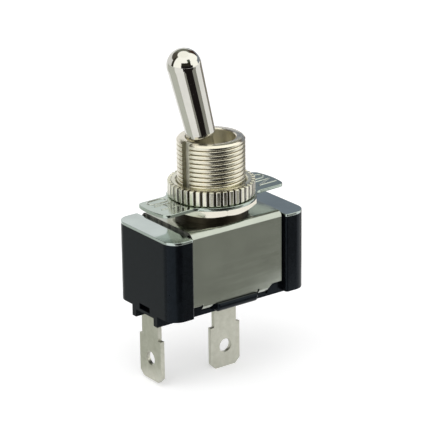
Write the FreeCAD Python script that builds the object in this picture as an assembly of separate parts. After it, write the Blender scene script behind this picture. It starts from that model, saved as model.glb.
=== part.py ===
import FreeCAD, Part
import math
import os

# Panel toggle switch, single pole, on and off, with quick-connect tabs. Millimetres.
# +Z runs up the bushing and +X along the case. Heights here count from the top face of the
# strap frame; main lowers every piece so that the frame's origin is the lever's pivot.
# The lever is drawn at rest, leaning to the -X side.

# Case, a black moulding with four proud corner pillars
body_length = 29.2
body_width = 16.85
body_corner_radius = 2.55
case_bottom_z = -15.0
pillar_inner_x = 9.95
pillar_edge_radius = 0.4
end_wall = 1.65
side_wall = 1.4
floor_thickness = 2.4
shelf_inner_x = 6.3
rib_spacing = 6.4
rib_width = 1.1
rib_depth = 2.0
pad_depth = 0.6
end_window_width = 3.1
end_window_height = 1.05
end_window_drop = 0.1

# Sheets stacked on the case
strap_sheet = 0.5
plate_sheet = 0.5
insulator_sheet_thickness = 0.3
insulator_margin = 0.8
insulator_hole_clearance = 0.2

# Strap frame, a U of sheet metal over the middle of the case
strap_length_x = 19.2
strap_half_width = 7.55
strap_bend_radius = 1.2
strap_bottom_z = -13.7
strap_left_step = 0.3
strap_right_step = 0.7
strap_right_run = 0.9
tab_width_left = 2.2
tab_width_right = 2.0
tab_left_x = -7.5
tab_right_x = 4.6
tab_length = 0.75
tab_bend = 40.0
relief_width = 0.35
relief_height = 0.45
strap_to_case = 0.05
tab_pocket_margin = 0.2
tab_pocket_depth = 0.75
tab_pocket_rise = 0.5

# Moulded bar between the crimped tabs
bar_radius = 1.0
bar_length = 8.6
bar_shift_x = -0.4
bar_axis_z = -14.35
bar_bulge = 0.65
bar_end_fillet = 0.4
bar_to_strap = 0.05

# Bushing with a 15/32-32 thread, drawn as ring grooves one pitch apart
thread_radius = 5.95
thread_pitch = 0.794
thread_depth = 0.28
thread_crest = 0.3
thread_top_z = 13.75
thread_chamfer = 0.35
shoulder_radius = 6.4
shoulder_height = 1.2
collar_radius = 5.1
rivet_lip_radius = 5.5
rivet_lip_height = 0.5
mouth_radius = 4.35
mouth_depth = 3.1
mouth_cone = 1.0
neck_radius = 3.0
skirt_radius = 4.55
skirt_straight = 1.95
keyway_width = 1.7
keyway_depth = 0.95
keyway_turn = 6.0

# Lever: a bat handle, a pivot ball and a hollow tail
pivot_z = 6.45
lever_tilt = 14.5
bat_base = 8.35
bat_base_radius = 2.57
bat_dome_centre = 21.6
bat_dome_radius = 3.0
bat_edge = 0.4
shaft_radius = 1.9
ball_radius = 3.6
tail_radius = 2.2
tail_length = 8.5
tail_bore_radius = 1.45
tail_bore_top = 1.0
ball_clearance = 0.05

# Cross pin through the ball, its ends in two grooves of the bushing
pin_radius = 0.8
pin_length = 8.8
pin_clearance = 0.06
pin_end_clearance = 0.1

# Plunger and its spring inside the tail
plunger_projection = 3.9
plunger_travel = 1.0
plunger_nose_radius = 1.0
plunger_head_radius = 1.9
plunger_head_height = 1.4
plunger_stem_length = 4.1
plunger_clearance = 0.07
plunger_stop_clearance = 0.1
spring_wire = 0.35
spring_turns = 6
spring_clearance = 0.05

# Rocker, a bent contact arm that tips on lugs in the saddle
plunger_to_rocker = 0.35
rocker_tilt = 8.0
rocker_sheet = 0.8
rocker_half_width = 2.3
rocker_flank_angle = 15.0
rocker_flank_length = 4.0
rocker_half_length = 9.2
lug_radius = 0.5
lug_clearance = 0.06
contact_x = 8.0
contact_radius = 1.3
contact_shank_radius = 0.7
moving_contact_height = 0.6
fixed_contact_height = 0.7
contact_gap = 0.05

# Saddle that carries the rocker
saddle_sheet = 0.8
saddle_ear_gap = 0.45
saddle_ear_length_x = 3.0
saddle_ear_top = 0.7
saddle_base_left = 1.8
saddle_base_right = 4.8

# Terminals: 6.35 x 0.81 quick-connect tabs
blade_width = 6.35
blade_thickness = 0.81
neck_width = 4.85
blade_corner = 1.0
blade_hole_radius = 1.25
blade_hole_height = 4.0
blade_length = 8.0
slot_clearance = 0.05
foot_clearance = 0.2
end_blade_inset = 2.1
end_blade_y = 1.0
end_blade_bottom_z = -28.75
centre_blade_x = 1.65
centre_blade_y = -0.95
centre_blade_bottom_z = -29.35
centre_foot_length = 3.4

# Nuts and switch plate on the thread
hex_across_flats = 13.7
hex_thickness = 1.5
hex_chamfer_angle = 30.0
hex_top_chamfer = 0.3
hex_turn = 14.0
nut_bore_clearance = 0.06
switch_plate_thickness = 0.6
switch_disc_radius = 7.9
switch_wing_radius = 13.6
switch_wing_half_width = 4.15
switch_wing_fillet = 1.6
switch_wing_corner = 1.2
switch_wing_turn = 2.5
key_clearance = 0.1
face_nut_thickness = 2.75
face_nut_radius = 7.65
face_nut_chamfer = 0.35
face_nut_top_edge = 0.15
face_nut_sink_radius = 6.35
face_nut_sink_depth = 0.3
knurl_count = 40
knurl_depth = 0.4
knurl_mouth = 0.66
knurl_floor = 0.36

# Levels and places that follow from the sizes above
plunger_reach = tail_length + plunger_projection
plunger_head_top = -(tail_length + plunger_travel + plunger_stop_clearance)
rocker_axis_z = pivot_z - plunger_reach - plunger_to_rocker - rocker_sheet / 2
end_blade_x = end_blade_inset - body_length / 2
case_top_z = -(strap_sheet + plate_sheet)
recess_half_width = strap_half_width - strap_sheet - strap_to_case
top_plate_waist = strap_half_width - strap_bend_radius - strap_to_case
cavity_half_length = body_length / 2 - end_wall
cavity_half_width = recess_half_width - side_wall
floor_top_z = case_bottom_z + floor_thickness
hex_top_z = shoulder_height + hex_thickness
switch_plate_top_z = hex_top_z + switch_plate_thickness
face_nut_top_z = switch_plate_top_z + face_nut_thickness
nut_bore_radius = thread_radius + nut_bore_clearance
saddle_inner_y = rocker_half_width + saddle_ear_gap
saddle_outer_y = saddle_inner_y + saddle_sheet
saddle_base_top_z = floor_top_z + saddle_sheet

# Height of the rocker's arms over its axis, in its own level position
flank_rise = rocker_flank_length * math.tan(math.radians(rocker_flank_angle))
arm_slope = math.tan(math.radians(rocker_tilt))
contact_rise = flank_rise + (contact_x - rocker_flank_length) * arm_slope
tilt_sin = math.sin(math.radians(rocker_tilt))
tilt_cos = math.cos(math.radians(rocker_tilt))
lowered_arm_bottom_z = (rocker_axis_z + (contact_rise - rocker_sheet / 2) * tilt_cos
                        - contact_x * tilt_sin)
fixed_contact_top_z = lowered_arm_bottom_z - moving_contact_height - contact_gap
end_foot_top_z = fixed_contact_top_z - fixed_contact_height
end_foot_bottom_z = end_foot_top_z - blade_thickness
rest_stop_z = lowered_arm_bottom_z - contact_gap


def vec(x, y, z):
    return FreeCAD.Vector(x, y, z)


def box(x0, x1, y0, y1, z0, z1):
    return Part.makeBox(x1 - x0, y1 - y0, z1 - z0, vec(x0, y0, z0))


def rod(radius, z0, z1, x=0.0, y=0.0):
    return Part.makeCylinder(radius, z1 - z0, vec(x, y, z0), vec(0, 0, 1))


def rod_along_y(radius, y0, y1, x, z):
    return Part.makeCylinder(radius, y1 - y0, vec(x, y0, z), vec(0, 1, 0))


def face_from_wire(wire):
    return Part.Face(wire)


def corner_arc(before, corner, after, radius):
    """Start, middle and end of the arc that rounds a corner."""
    to_before = (before - corner).normalize()
    to_after = (after - corner).normalize()
    half_angle = to_before.getAngle(to_after) / 2
    run = radius / math.tan(half_angle)
    start = corner + to_before * run
    end = corner + to_after * run
    bisector = (to_before + to_after).normalize()
    centre = corner + bisector * (radius / math.sin(half_angle))
    middle = centre - bisector * radius
    return start, middle, end


def rounded_wire(corners):
    """Closed wire through corners, each a point and the radius that rounds it."""
    count = len(corners)
    edges = []
    ends = []
    for index in range(count):
        before = corners[index - 1][0]
        corner, radius = corners[index]
        after = corners[(index + 1) % count][0]
        if radius > 0:
            ends.append(corner_arc(vec(*before), vec(*corner), vec(*after), radius))
        else:
            ends.append((vec(*corner), None, vec(*corner)))
    for index in range(count):
        start, middle, end = ends[index]
        if middle is not None:
            edges.append(Part.Arc(start, middle, end).toShape())
        following = ends[(index + 1) % count][0]
        if (following - end).Length > 1e-6:
            edges.append(Part.LineSegment(end, following).toShape())
    return Part.Wire(edges)


def plan_prism(points, z0, z1):
    """Solid over a plan outline of (x, y, corner radius) from z0 up to z1."""
    wire = rounded_wire([((x, y, z0), radius) for x, y, radius in points])
    return face_from_wire(wire).extrude(vec(0, 0, z1 - z0))


def side_prism(points, y0, y1):
    """Solid over an outline of (x, z, corner radius) seen from the long side."""
    wire = rounded_wire([((x, y0, z), radius) for x, z, radius in points])
    return face_from_wire(wire).extrude(vec(0, y1 - y0, 0))


def end_prism(points, x0, x1):
    """Solid over an outline of (y, z, corner radius) seen from the end."""
    wire = rounded_wire([((x0, y, z), radius) for y, z, radius in points])
    return face_from_wire(wire).extrude(vec(x1 - x0, 0, 0))


def turned(points):
    """Solid of revolution about Z over (radius, z) points."""
    wire = Part.makePolygon([vec(r, 0, z) for r, z in points] + [vec(points[0][0], 0, points[0][1])])
    return face_from_wire(wire).revolve(vec(0, 0, 0), vec(0, 0, 1), 360)


def about_z(shape, degrees):
    copy = shape.copy()
    copy.rotate(vec(0, 0, 0), vec(0, 0, 1), degrees)
    return copy


def tidy(shape):
    return shape.removeSplitter()


def on_lever(shape):
    """Moves a shape drawn about the pivot, axis up, to the lever's rest tilt."""
    copy = shape.copy()
    copy.Placement = FreeCAD.Placement(vec(0, 0, pivot_z), FreeCAD.Rotation(vec(0, 1, 0), -lever_tilt))
    return copy


def on_rocker(shape):
    """Moves a shape drawn about the rocker's axis to its rest tilt."""
    copy = shape.copy()
    copy.Placement = FreeCAD.Placement(vec(0, 0, rocker_axis_z),
                                       FreeCAD.Rotation(vec(0, 1, 0), rocker_tilt))
    return copy


def body_outline(middle_half_width):
    """Plan of the case and its top plate: four pillars and a narrower middle."""
    half_length = body_length / 2
    half_width = body_width / 2
    quarter = [
        (half_length, half_width, body_corner_radius),
        (pillar_inner_x, half_width, pillar_edge_radius),
        (pillar_inner_x, middle_half_width, 0.0),
    ]
    left_back = [(-x, y, r) for x, y, r in reversed(quarter)]
    left_front = [(-x, -y, r) for x, y, r in quarter]
    right_front = [(x, -y, r) for x, y, r in reversed(quarter)]
    return quarter + left_back + left_front + right_front


def case_bar():
    """Rounded bar under the front edge of the strap frame."""
    axis_y = -(strap_half_width + bar_bulge - bar_radius)
    start_x = bar_shift_x - bar_length / 2
    bar = Part.makeCylinder(bar_radius, bar_length, vec(start_x, axis_y, bar_axis_z), vec(1, 0, 0))
    bar = bar.makeFillet(bar_end_fillet, [edge for edge in bar.Edges if edge.Closed])
    above = box(start_x - 1, start_x + bar_length + 1, axis_y - 2 * bar_radius, 0,
                strap_bottom_z - bar_to_strap, strap_bottom_z + 2 * bar_radius)
    return bar.cut(above)


def case_tab_pocket(tab_x, tab_width):
    """Pocket in the front of the case that the bent strap tab enters."""
    return box(tab_x - tab_pocket_margin, tab_x + tab_width + tab_pocket_margin,
               -recess_half_width - 1, -recess_half_width + tab_pocket_depth,
               case_bottom_z - 1, strap_bottom_z + tab_pocket_rise)


def case_bottom_form():
    """Pad and two barrier ribs under the case, along its length."""
    half_length = body_length / 2
    outer = rib_spacing / 2 + rib_width / 2
    inner = rib_spacing / 2 - rib_width / 2
    pad = box(-half_length, half_length, -outer, outer, case_bottom_z - pad_depth, case_bottom_z + 0.2)
    form = pad
    for low, high in ((inner, outer), (-outer, -inner)):
        form = form.fuse(box(-half_length, half_length, low, high,
                             case_bottom_z - rib_depth, case_bottom_z + 0.2))
    return form


def terminal_slot(x, y, size_x, size_y):
    """Slot through the floor for a terminal's neck."""
    half_x = size_x / 2 + slot_clearance
    half_y = size_y / 2 + slot_clearance
    return box(x - half_x, x + half_x, y - half_y, y + half_y,
               case_bottom_z - rib_depth - 1, end_foot_bottom_z + 0.01)


def make_case():
    case = plan_prism(body_outline(recess_half_width), case_bottom_z, case_top_z)
    case = case.fuse(case_bottom_form())
    front_bar = case_bar()
    case = case.fuse([front_bar, about_z(front_bar, 180)])
    for tab_x, tab_width in ((tab_left_x, tab_width_left), (tab_right_x, tab_width_right)):
        pocket = case_tab_pocket(tab_x, tab_width)
        case = case.cut([pocket, about_z(pocket, 180)])
    rebate_z = case_top_z - insulator_sheet_thickness
    length_in = cavity_half_length
    width_in = cavity_half_width
    well = box(-shelf_inner_x, shelf_inner_x, -width_in, width_in, floor_top_z, case_top_z)
    left_space = box(-length_in, -shelf_inner_x, -width_in, width_in, end_foot_bottom_z, case_top_z)
    right_space = box(shelf_inner_x, length_in, -width_in, width_in, rest_stop_z, case_top_z)
    rebate = box(-length_in - insulator_margin, length_in + insulator_margin,
                 -width_in - insulator_margin, width_in + insulator_margin, rebate_z, case_top_z)
    case = case.cut([well, left_space, right_space, rebate])
    case = case.cut(terminal_slot(end_blade_x, end_blade_y, blade_thickness, neck_width))
    case = case.cut(terminal_slot(centre_blade_x, centre_blade_y, neck_width, blade_thickness))
    window_z = case_bottom_z - end_window_drop
    window = box(-body_length / 2 - 1, end_blade_x, -end_window_width / 2, end_window_width / 2,
                 window_z, window_z + end_window_height)
    return tidy(case.cut(window))


def make_insulator_sheet():
    half_x = cavity_half_length + insulator_margin - slot_clearance
    half_y = cavity_half_width + insulator_margin - slot_clearance
    sheet = box(-half_x, half_x, -half_y, half_y, case_top_z - insulator_sheet_thickness, case_top_z)
    hole = rod(rivet_lip_radius + insulator_hole_clearance, case_top_z - 1, case_top_z + 1)
    return sheet.cut(hole)


def make_top_plate():
    plate = plan_prism(body_outline(top_plate_waist), case_top_z, case_top_z + plate_sheet)
    return plate.cut(rod(collar_radius, case_top_z - 1, 1))


def strap_flange_trim():
    """What is cut off the lower edge of the front flange, over its whole length."""
    half_x = strap_length_x / 2
    low = strap_bottom_z - 2
    depth = strap_half_width + 1
    tab_end = tab_right_x + tab_width_right
    left_cut = box(-half_x - 1, tab_left_x - relief_width, -depth, 0, low,
                   strap_bottom_z + strap_left_step)
    right_cut = side_prism([
        (tab_end, low, 0), (tab_end, strap_bottom_z, 0),
        (tab_end + strap_right_run, strap_bottom_z + strap_right_step, 0),
        (half_x + 1, strap_bottom_z + strap_right_step, 0), (half_x + 1, low, 0)], -depth, 0)
    reliefs = [box(x - relief_width, x, -depth, 0, low, strap_bottom_z + relief_height)
               for x in (tab_left_x, tab_right_x)]
    return [left_cut, right_cut] + reliefs


def strap_tab(tab_x, tab_width):
    """Crimp tab under the front flange, bent inwards."""
    angle = math.radians(tab_bend)
    down = (math.sin(angle), -math.cos(angle))
    across = (math.cos(angle) * strap_sheet, math.sin(angle) * strap_sheet)
    outer_y = -strap_half_width
    inner_y = outer_y + strap_sheet
    root_z = strap_bottom_z
    inner_root_z = root_z + strap_sheet * math.tan(angle / 2)
    end_y = outer_y + down[0] * tab_length
    end_z = root_z + down[1] * tab_length
    return end_prism([
        (outer_y, root_z, 0), (end_y, end_z, 0), (end_y + across[0], end_z + across[1], 0),
        (inner_y, inner_root_z, 0), (inner_y, root_z + 1, 0), (outer_y, root_z + 1, 0)],
        tab_x, tab_x + tab_width)


def make_strap_frame():
    half_x = strap_length_x / 2
    inner = strap_half_width - strap_sheet
    inner_bend = strap_bend_radius - strap_sheet
    section = [
        (-strap_half_width, strap_bottom_z, 0), (-strap_half_width, 0, strap_bend_radius),
        (strap_half_width, 0, strap_bend_radius), (strap_half_width, strap_bottom_z, 0),
        (inner, strap_bottom_z, 0), (inner, -strap_sheet, inner_bend),
        (-inner, -strap_sheet, inner_bend), (-inner, strap_bottom_z, 0)]
    strap = end_prism(section, -half_x, half_x)
    trims = strap_flange_trim()
    strap = strap.cut(trims + [about_z(trim, 180) for trim in trims])
    for tab_x, tab_width in ((tab_left_x, tab_width_left), (tab_right_x, tab_width_right)):
        tab = strap_tab(tab_x, tab_width)
        strap = strap.fuse([tab, about_z(tab, 180)])
    return tidy(strap.cut(rod(collar_radius, -1, 1)))


def keyway_cutter(width, depth, z0, z1):
    """Box along the thread on the -X side, turned to the keyway's place."""
    slot = box(-thread_radius - 2, -thread_radius + depth, -width / 2, width / 2, z0, z1)
    return about_z(slot, keyway_turn)


def bushing_bore():
    """Open space inside the bushing, from the rivet lip up to the mouth."""
    cavity_radius = ball_radius + ball_clearance
    bottom_z = case_top_z - rivet_lip_height
    straight_z = pivot_z - skirt_straight
    neck_top = thread_top_z - mouth_depth - mouth_cone
    skirt = Part.makeCone(skirt_radius, cavity_radius, straight_z - bottom_z, vec(0, 0, bottom_z))
    chamber = rod(cavity_radius, straight_z, pivot_z)
    seat = Part.makeSphere(cavity_radius, vec(0, 0, pivot_z))
    neck = rod(neck_radius, pivot_z, neck_top + 0.01)
    cone = Part.makeCone(neck_radius, mouth_radius, mouth_cone, vec(0, 0, neck_top))
    mouth = rod(mouth_radius, neck_top + mouth_cone, thread_top_z + 1)
    return skirt.fuse([chamber, seat, neck, cone, mouth])


def pin_grooves():
    """Two grooves for the ends of the cross pin, open at the bottom."""
    half = pin_radius + pin_clearance
    reach = pin_length / 2 + pin_end_clearance
    channel = box(-half, half, -reach, reach, case_top_z - rivet_lip_height - 1, pivot_z)
    crown = rod_along_y(half, -reach, reach, 0, pivot_z)
    return channel.fuse(crown)


def thread_profile():
    """Outside of the thread from the shoulder up, as (radius, z): crests with grooves between."""
    length = thread_top_z - thread_chamfer - shoulder_height
    root_radius = thread_radius - thread_depth
    points = [(thread_radius, shoulder_height)]
    for row in range(int(length / thread_pitch)):
        crest_end = shoulder_height + row * thread_pitch + thread_crest
        next_crest = shoulder_height + (row + 1) * thread_pitch
        points.append((thread_radius, crest_end))
        points.append((root_radius, (crest_end + next_crest) / 2))
        points.append((thread_radius, next_crest))
    return points


def make_bushing():
    lip_z = case_top_z - rivet_lip_height
    base = [(0, lip_z), (rivet_lip_radius, lip_z), (rivet_lip_radius, case_top_z),
            (collar_radius, case_top_z), (collar_radius, 0), (shoulder_radius, 0),
            (shoulder_radius, shoulder_height)]
    crown = [(thread_radius, thread_top_z - thread_chamfer),
             (thread_radius - thread_chamfer, thread_top_z), (0, thread_top_z)]
    body = turned(base + thread_profile() + crown)
    body = body.cut(bushing_bore())
    body = body.cut(pin_grooves())
    return tidy(body.cut(keyway_cutter(keyway_width, keyway_depth, shoulder_height, thread_top_z + 1)))


def make_lever():
    taper = math.atan((bat_dome_radius - bat_base_radius) / (bat_dome_centre - bat_base))
    tangent_r = bat_dome_radius * math.cos(taper)
    tangent_z = bat_dome_centre - bat_dome_radius * math.sin(taper)
    middle = math.pi / 4
    dome = Part.Arc(vec(tangent_r, 0, tangent_z),
                    vec(bat_dome_radius * math.cos(middle), 0,
                        bat_dome_centre + bat_dome_radius * math.sin(middle)),
                    vec(0, 0, bat_dome_centre + bat_dome_radius)).toShape()
    sides = [vec(0, 0, bat_dome_centre + bat_dome_radius), vec(0, 0, bat_base),
             vec(bat_base_radius - bat_edge, 0, bat_base),
             vec(bat_base_radius, 0, bat_base + bat_edge), vec(tangent_r, 0, tangent_z)]
    lines = [Part.LineSegment(a, b).toShape() for a, b in zip(sides, sides[1:])]
    bat = face_from_wire(Part.Wire([dome] + lines)).revolve(vec(0, 0, 0), vec(0, 0, 1), 360)
    shaft = rod(shaft_radius, 0, bat_base + bat_edge)
    ball = Part.makeSphere(ball_radius)
    tail = rod(tail_radius, -tail_length, 0)
    lever = bat.fuse([shaft, ball, tail])
    lever = lever.cut(rod(tail_bore_radius, -tail_length - 1, -tail_bore_top))
    lever = lever.cut(rod_along_y(pin_radius, -ball_radius - 1, ball_radius + 1, 0, 0))
    return tidy(on_lever(lever))


def make_pivot_pin():
    return on_lever(rod_along_y(pin_radius, -pin_length / 2, pin_length / 2, 0, 0))


def plunger_stem_top():
    """Height of the stem's top below the pivot, along the lever."""
    return plunger_head_top + plunger_stem_length


def make_plunger():
    stem_radius = tail_bore_radius - plunger_clearance
    head_low = plunger_head_top - plunger_head_height
    nose_centre = -plunger_reach + plunger_nose_radius
    stem = rod(stem_radius, head_low, plunger_stem_top())
    head = rod(plunger_head_radius, head_low, plunger_head_top)
    cone = Part.makeCone(plunger_nose_radius, plunger_head_radius, head_low - nose_centre,
                         vec(0, 0, nose_centre))
    nose = Part.makeSphere(plunger_nose_radius, vec(0, 0, nose_centre))
    return tidy(on_lever(stem.fuse([head, cone, nose])))


def make_plunger_spring():
    radius = tail_bore_radius - spring_clearance - spring_wire / 2
    low = plunger_stem_top() + spring_wire / 2
    high = -tail_bore_top - spring_wire / 2
    pitch = (high - low) / spring_turns
    path = Part.makeHelix(pitch, high - low, radius)
    path.translate(vec(0, 0, low))
    ring = Part.Wire([Part.makeCircle(spring_wire / 2, vec(radius, 0, low), vec(0, 1, 0))])
    coil = Part.Wire(path.Edges).makePipeShell([ring], True, True)
    return on_lever(coil)


def rocker_outline():
    """Side view of the bent arm about its axis, level."""
    half = rocker_sheet / 2
    end_rise = flank_rise + (rocker_half_length - rocker_flank_length) * arm_slope
    centre_line = [(-rocker_half_length, end_rise), (-rocker_flank_length, flank_rise), (0, 0),
                   (rocker_flank_length, flank_rise), (rocker_half_length, end_rise)]
    top = [(x, z + half, 0) for x, z in centre_line]
    bottom = [(x, z - half, 0) for x, z in reversed(centre_line)]
    return top + bottom


def make_rocker():
    arm = side_prism(rocker_outline(), -rocker_half_width, rocker_half_width)
    lug = rod_along_y(lug_radius, -saddle_outer_y, saddle_outer_y, 0, 0)
    shank_hole = rod(contact_shank_radius, 0, contact_rise + 2, -contact_x, 0)
    return tidy(on_rocker(arm.fuse(lug).cut(shank_hole)))


def make_moving_contact():
    """Silver rivet under the -X arm, its face square to the lowered arm."""
    under = contact_rise - rocker_sheet / 2
    shank = rod(contact_shank_radius, under - moving_contact_height / 2, under + rocker_sheet, -contact_x, 0)
    head = rod(contact_radius, 0, moving_contact_height)
    head.rotate(vec(0, 0, 0), vec(0, 1, 0), rocker_tilt)
    drop = vec(moving_contact_height * tilt_sin, 0, moving_contact_height * tilt_cos)
    head.translate(vec(-contact_x, 0, under) - drop)
    arm = side_prism(rocker_outline(), -rocker_half_width, rocker_half_width)
    return tidy(on_rocker(shank.fuse(head.cut(arm))))


def make_fixed_contact():
    head = rod(contact_radius, end_foot_top_z, fixed_contact_top_z, -contact_x, 0)
    shank = rod(contact_shank_radius, end_foot_bottom_z, end_foot_top_z, -contact_x, 0)
    return tidy(head.fuse(shank))


def make_rocker_saddle():
    base = box(-saddle_base_left, saddle_base_right, -saddle_outer_y, saddle_outer_y,
               floor_top_z, saddle_base_top_z)
    half = saddle_ear_length_x / 2
    ear_top = rocker_axis_z + saddle_ear_top
    ears = [box(-half, half, saddle_inner_y, saddle_outer_y, floor_top_z, ear_top),
            box(-half, half, -saddle_outer_y, -saddle_inner_y, floor_top_z, ear_top)]
    notch_radius = lug_radius + lug_clearance
    notch = rod_along_y(notch_radius, -saddle_outer_y - 1, saddle_outer_y + 1, 0, rocker_axis_z)
    mouth = box(-notch_radius, notch_radius, -saddle_outer_y - 1, saddle_outer_y + 1,
                rocker_axis_z, ear_top + 1)
    slot = terminal_slot(centre_blade_x, centre_blade_y, neck_width, blade_thickness)
    return tidy(base.fuse(ears).cut([notch, mouth, slot]))


def blade_outline(neck_top, bottom):
    """Outline of a quick-connect blade and its neck, as (across, z, corner radius)."""
    half = blade_width / 2
    neck = neck_width / 2
    shoulder = bottom + blade_length
    return [(neck, neck_top, 0), (neck, shoulder, 0), (half, shoulder, 0), (half, bottom + blade_corner, 0),
            (half - blade_corner, bottom, 0), (blade_corner - half, bottom, 0),
            (-half, bottom + blade_corner, 0), (-half, shoulder, 0), (-neck, shoulder, 0),
            (-neck, neck_top, 0)]


def make_end_terminal():
    outer_x = end_blade_x - blade_thickness / 2
    inner_x = end_blade_x + blade_thickness / 2
    outline = [(end_blade_y + across, z, r)
               for across, z, r in blade_outline(end_foot_top_z, end_blade_bottom_z)]
    blade = end_prism(outline, outer_x, inner_x)
    hole = Part.makeCylinder(blade_hole_radius, blade_thickness + 2,
                             vec(outer_x - 1, end_blade_y, end_blade_bottom_z + blade_hole_height),
                             vec(1, 0, 0))
    foot = box(outer_x, -shelf_inner_x - foot_clearance, end_blade_y - neck_width / 2,
               end_blade_y + neck_width / 2, end_foot_bottom_z, end_foot_top_z)
    shank_hole = rod(contact_shank_radius, end_foot_bottom_z - 1, end_foot_top_z + 1, -contact_x, 0)
    return tidy(blade.fuse(foot).cut([hole, shank_hole]))


def make_centre_terminal():
    front_y = centre_blade_y - blade_thickness / 2
    back_y = centre_blade_y + blade_thickness / 2
    foot_top = saddle_base_top_z + blade_thickness
    outline = [(centre_blade_x + across, z, r)
               for across, z, r in blade_outline(foot_top, centre_blade_bottom_z)]
    blade = side_prism(outline, front_y, back_y)
    hole = rod_along_y(blade_hole_radius, front_y - 1, back_y + 1, centre_blade_x,
                       centre_blade_bottom_z + blade_hole_height)
    foot = box(centre_blade_x - neck_width / 2, centre_blade_x + neck_width / 2, front_y,
               front_y + centre_foot_length, saddle_base_top_z, foot_top)
    return tidy(blade.fuse(foot).cut(hole))


def make_hex_nut():
    corner_radius = hex_across_flats / math.sqrt(3)
    corners = [(corner_radius * math.cos(math.radians(60 * k + hex_turn)),
                corner_radius * math.sin(math.radians(60 * k + hex_turn)), 0) for k in range(6)]
    nut = plan_prism(corners, shoulder_height, hex_top_z)
    rise = math.tan(math.radians(hex_chamfer_angle))
    flat_radius = hex_across_flats / 2
    reach = corner_radius + 1
    lift = (reach - flat_radius) * rise
    envelope = turned([
        (0, shoulder_height), (flat_radius, shoulder_height), (reach, shoulder_height + lift),
        (reach, hex_top_z - hex_top_chamfer), (corner_radius - hex_top_chamfer, hex_top_z), (0, hex_top_z)])
    nut = nut.common(envelope)
    return tidy(nut.cut(rod(nut_bore_radius, 0, hex_top_z + 1)))


def wing_plate():
    """Both wings of the switch plate in one: a strip with round ends."""
    half = switch_wing_half_width
    angle = math.asin(half / switch_wing_radius)
    corner_x = switch_wing_radius * math.cos(angle)
    right = Part.Arc(vec(corner_x, -half, hex_top_z), vec(switch_wing_radius, 0, hex_top_z),
                     vec(corner_x, half, hex_top_z)).toShape()
    left = Part.Arc(vec(-corner_x, half, hex_top_z), vec(-switch_wing_radius, 0, hex_top_z),
                    vec(-corner_x, -half, hex_top_z)).toShape()
    back = Part.LineSegment(vec(corner_x, half, hex_top_z), vec(-corner_x, half, hex_top_z)).toShape()
    front = Part.LineSegment(vec(-corner_x, -half, hex_top_z), vec(corner_x, -half, hex_top_z)).toShape()
    strip = face_from_wire(Part.Wire([right, back, left, front]))
    return about_z(strip.extrude(vec(0, 0, switch_plate_thickness)), switch_wing_turn)


def upright_edges(shape, radius_low, radius_high):
    """Straight vertical edges whose distance from the Z axis lies in a range."""
    found = []
    for edge in shape.Edges:
        first = edge.Vertexes[0].Point
        last = edge.Vertexes[-1].Point
        vertical = abs(first.x - last.x) < 1e-5 and abs(first.y - last.y) < 1e-5
        if vertical and radius_low < math.hypot(first.x, first.y) < radius_high and not edge.Closed:
            found.append(edge)
    return found


def make_on_off_plate():
    disc = rod(switch_disc_radius, hex_top_z, switch_plate_top_z)
    plate = tidy(disc.fuse(wing_plate()))
    roots = upright_edges(plate, switch_disc_radius - 0.1, switch_disc_radius + 0.1)
    plate = plate.makeFillet(switch_wing_fillet, roots)
    tips = upright_edges(plate, switch_wing_radius - 0.1, switch_wing_radius + 0.1)
    plate = plate.makeFillet(switch_wing_corner, tips)
    plate = plate.cut(rod(nut_bore_radius, 0, switch_plate_top_z + 1))
    key_width = keyway_width - 2 * key_clearance
    key_tip = thread_radius - keyway_depth + key_clearance
    key = box(-nut_bore_radius - 0.5, -key_tip, -key_width / 2, key_width / 2,
              hex_top_z, switch_plate_top_z)
    return tidy(plate.fuse(about_z(key, keyway_turn)))


def knurl_cutter():
    """One groove of the knurl on the +X side, wider at its mouth."""
    floor_radius = face_nut_radius - knurl_depth
    mouth_radius_out = face_nut_radius + 0.2
    points = [
        (floor_radius, -knurl_floor / 2, 0), (mouth_radius_out, -knurl_mouth / 2, 0),
        (mouth_radius_out, knurl_mouth / 2, 0), (floor_radius, knurl_floor / 2, 0)]
    return plan_prism(points, switch_plate_top_z - 1, face_nut_top_z + 1)


def make_face_nut():
    low = switch_plate_top_z
    high = face_nut_top_z
    body = turned([
        (nut_bore_radius, low), (face_nut_radius - face_nut_chamfer, low),
        (face_nut_radius, low + face_nut_chamfer), (face_nut_radius, high - face_nut_top_edge),
        (face_nut_radius - face_nut_top_edge, high), (face_nut_sink_radius, high),
        (nut_bore_radius, high - face_nut_sink_depth)])
    groove = knurl_cutter()
    grooves = [about_z(groove, 360 * k / knurl_count) for k in range(knurl_count)]
    return tidy(body.cut(grooves))


def main():
    pieces = {
        "case": make_case(),
        "insulator_sheet": make_insulator_sheet(),
        "top_plate": make_top_plate(),
        "strap_frame": make_strap_frame(),
        "bushing": make_bushing(),
        "lever": make_lever(),
        "pivot_pin": make_pivot_pin(),
        "plunger": make_plunger(),
        "plunger_spring": make_plunger_spring(),
        "rocker": make_rocker(),
        "moving_contact": make_moving_contact(),
        "fixed_contact": make_fixed_contact(),
        "rocker_saddle": make_rocker_saddle(),
        "centre_terminal": make_centre_terminal(),
        "end_terminal": make_end_terminal(),
        "hex_nut": make_hex_nut(),
        "on_off_plate": make_on_off_plate(),
        "face_nut": make_face_nut(),
    }
    os.makedirs("parts", exist_ok=True)
    for name, shape in pieces.items():
        shape.translate(vec(0, 0, -pivot_z))
        print(name, "valid", shape.isValid(), "solids", len(shape.Solids), "volume", round(shape.Volume, 2))
        shape.exportStep(os.path.join("parts", name + ".step"))


main()
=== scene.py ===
import math

import bmesh
import bpy
from mathutils import Matrix, Vector


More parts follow.
